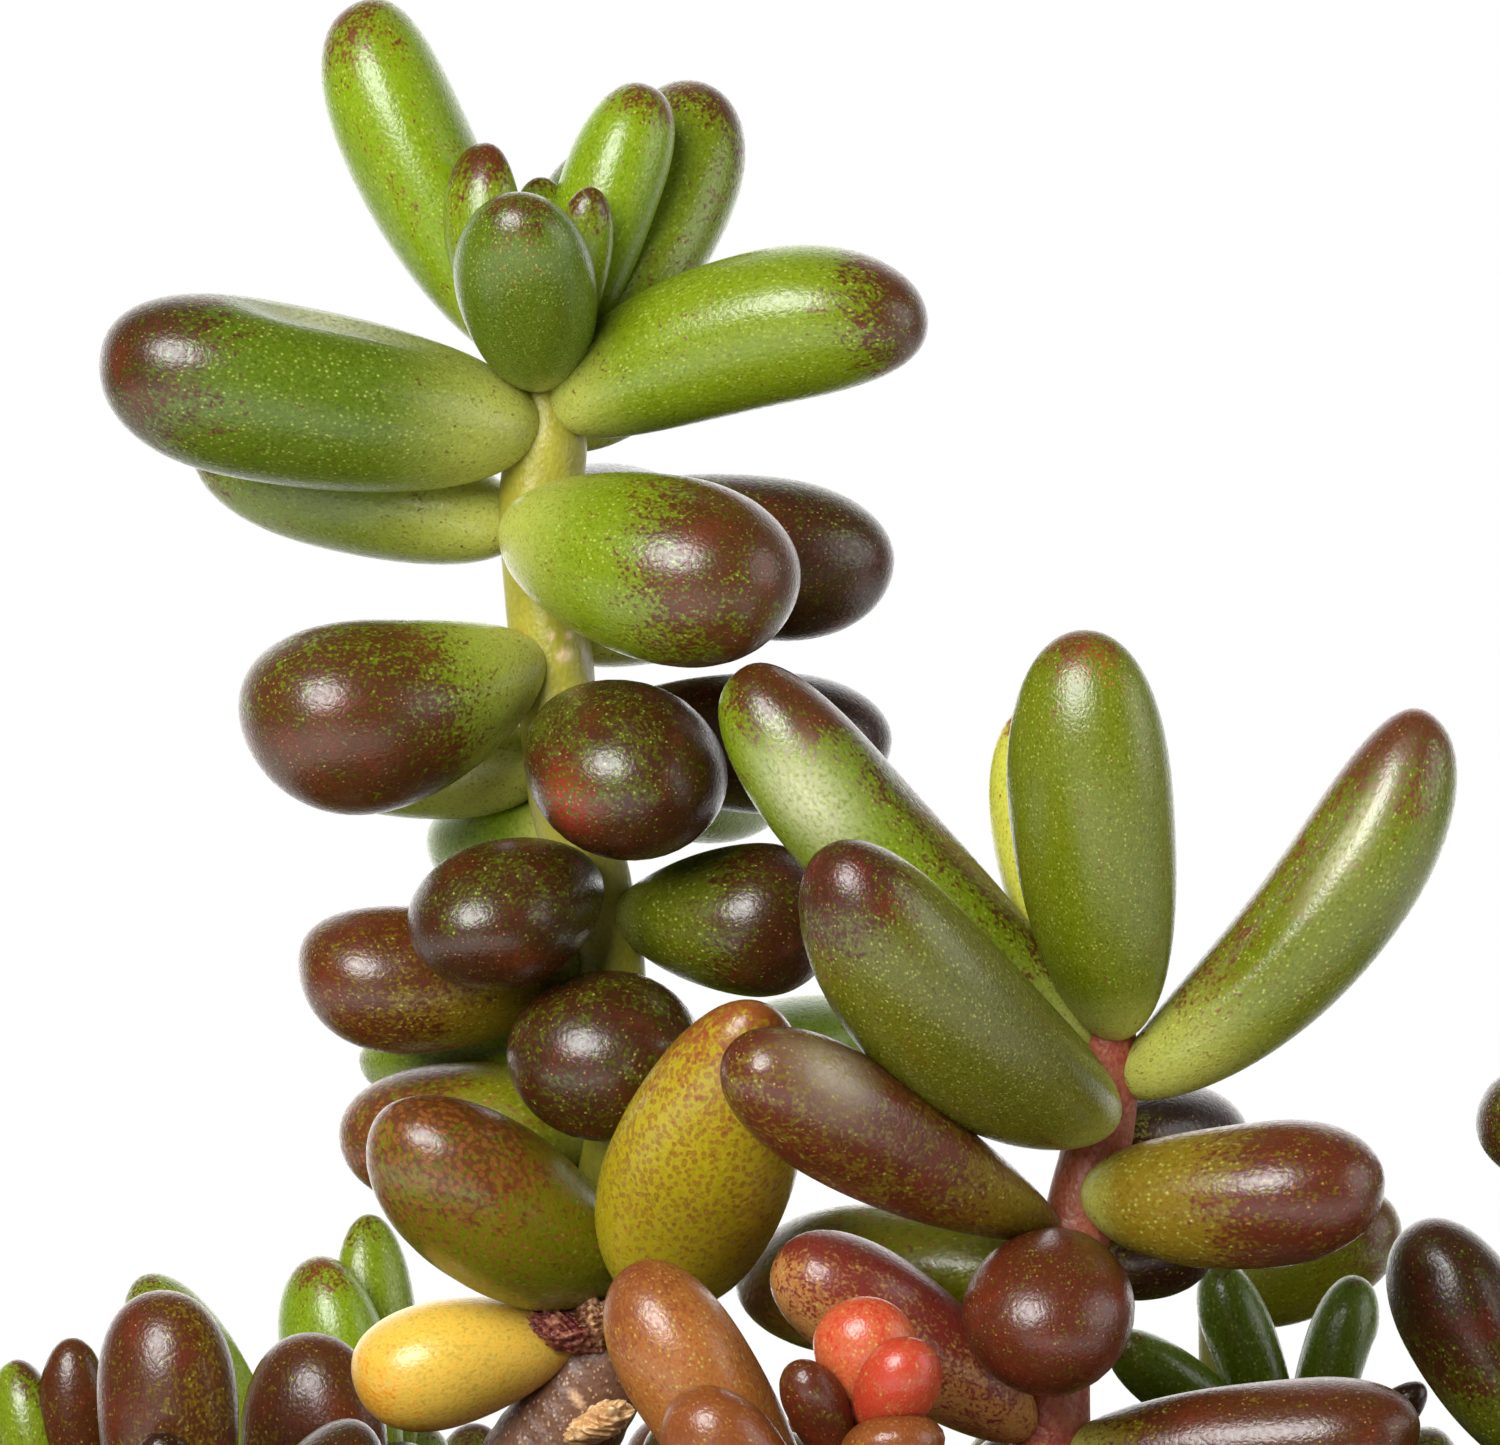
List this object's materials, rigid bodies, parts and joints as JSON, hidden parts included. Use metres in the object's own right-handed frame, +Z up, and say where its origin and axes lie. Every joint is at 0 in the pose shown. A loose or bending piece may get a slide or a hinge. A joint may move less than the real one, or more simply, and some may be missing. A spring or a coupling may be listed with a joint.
{
  "type": "potted white stonecrop",
  "caption": "Small potted stonecrop succulent: stems with plump bean-shaped leaves, green with brown-red tips, standing in soil in a plain tapered clay pot with a collar.",
  "frame": {"origin": "centre of the pot's foot, on the surface that the pot stands on", "axes": "+Z up along the pot's axis; -Y towards the side that the picture shows, +X to the right in it"},
  "size_m": [0.062, 0.062, 0.0927],
  "materials": {
    "fired_clay": "matte",
    "potting_soil": "matte",
    "leaf_olive": "satin",
    "leaf_green": "satin",
    "leaf_brown": "satin",
    "leaf_orange": "satin"
  },
  "bodies": {
    "root": {"pot": "fired_clay", "soil": "potting_soil", "tall_shoot": "leaf_olive", "right_shoot": "leaf_olive", "front_shoot": "leaf_orange", "left_shoot_1": "leaf_brown", "left_shoot_2": "leaf_brown", "left_shoot_3": "leaf_green", "left_shoot_4": "leaf_brown", "right_edge_shoot_1": "leaf_brown", "right_edge_shoot_2": "leaf_olive", "right_edge_shoot_3": "leaf_olive", "right_edge_shoot_4": "leaf_green", "mat_shoot_01": "leaf_green", "mat_shoot_02": "leaf_green", "mat_shoot_03": "leaf_olive", "mat_shoot_04": "leaf_brown", "mat_shoot_05": "leaf_green", "mat_shoot_06": "leaf_green", "mat_shoot_07": "leaf_olive", "mat_shoot_08": "leaf_brown", "mat_shoot_09": "leaf_green", "mat_shoot_10": "leaf_green", "mat_shoot_11": "leaf_olive", "mat_shoot_12": "leaf_brown", "mat_shoot_13": "leaf_green", "mat_shoot_14": "leaf_green", "mat_shoot_15": "leaf_olive", "mat_shoot_16": "leaf_brown", "mat_shoot_17": "leaf_green", "mat_shoot_18": "leaf_green"}
  },
  "joints": []
}
